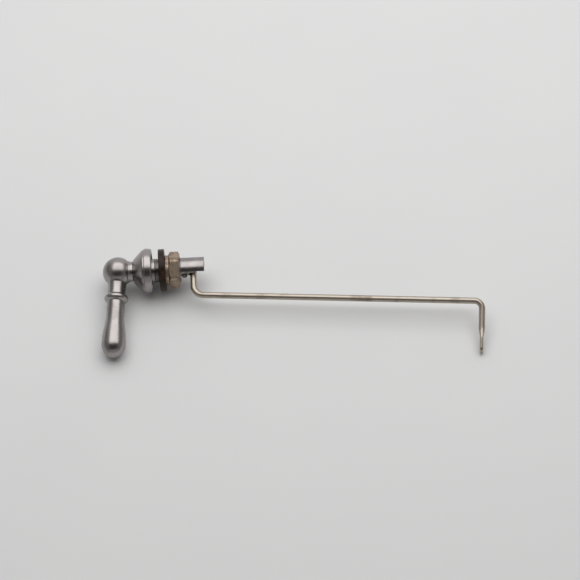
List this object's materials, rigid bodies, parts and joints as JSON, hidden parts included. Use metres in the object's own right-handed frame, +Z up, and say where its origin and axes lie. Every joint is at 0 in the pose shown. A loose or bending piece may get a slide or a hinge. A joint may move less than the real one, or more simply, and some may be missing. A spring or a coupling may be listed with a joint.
{
  "type": "cistern lever",
  "caption": "Side-mount cistern flush lever: baluster handle with ball hub, bell escutcheon, threaded shank with nut and rubber washer, and a long bent brass arm that lifts the chain.",
  "frame": {"origin": "centre of the escutcheon's back face, where it seats on the cistern wall, on the spindle's axis", "axes": "+X along the spindle into the cistern, +Z up, handle towards -Y"},
  "size_m": [0.2878, 0.0935, 0.0338],
  "materials": {
    "satin_nickel": "satin",
    "plated_steel": "satin",
    "dark_steel": "dull",
    "bush_plastic": "matt",
    "rubber": "matt",
    "nut_brass": "dull",
    "arm_brass": "satin"
  },
  "bodies": {
    "mounting": {"escutcheon": "satin_nickel", "spindle_bush": "bush_plastic"},
    "lever": {"handle": "satin_nickel", "spindle": "plated_steel", "arm": "arm_brass", "arm_set_screw": "dark_steel"},
    "seal": {"rubber_washer": "rubber"},
    "nut": {"lock_nut": "nut_brass"}
  },
  "joints": [
    {"name": "lever_turn", "type": "hinge", "parent": "mounting", "child": "lever", "pos_m": [0, 0, 0], "axis": [1, 0, 0], "range_deg": [-28, 101]},
    {"name": "nut_travel", "type": "slide", "parent": "mounting", "child": "seal", "axis": [1, 0, 0], "range_m": [-0.005, 0.0063]},
    {"name": "nut_turn", "type": "hinge", "parent": "seal", "child": "nut", "pos_m": [0, 0, 0], "axis": [1, 0, 0], "range_deg": [-1517, 1205]}
  ],
  "couplings": [
    {"joint": "nut_turn", "follows": "nut_travel", "rad_per_m": -4188.8}
  ]
}
